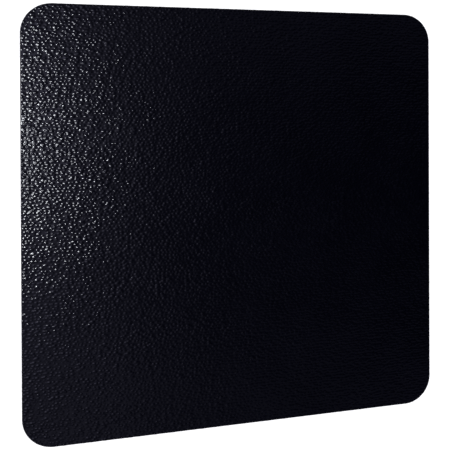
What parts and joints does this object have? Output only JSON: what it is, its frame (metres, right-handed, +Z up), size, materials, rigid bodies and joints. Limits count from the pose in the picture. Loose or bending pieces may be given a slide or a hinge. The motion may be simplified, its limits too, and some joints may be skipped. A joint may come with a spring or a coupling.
{
  "type": "floor protector mat",
  "caption": "Square rigid floor mat: a glossy black pebble-embossed steel skin with rounded corners, hemmed round a fibre core and a galvanised base sheet.",
  "frame": {"origin": "centre of the footprint, on the floor under the board", "axes": "+Z up, out of the embossed face; +X and +Y along the sides"},
  "size_m": [0.9144, 0.9144, 0.0127],
  "materials": {
    "black_enamel_steel": "gloss",
    "adhesive_film": "satin",
    "mineral_fibre_board": "matte",
    "galvanised_steel": "satin"
  },
  "bodies": {
    "root": {"top_skin": "black_enamel_steel", "top_bond": "adhesive_film", "core_board": "mineral_fibre_board", "bottom_bond": "adhesive_film", "base_sheet": "galvanised_steel"}
  },
  "joints": []
}
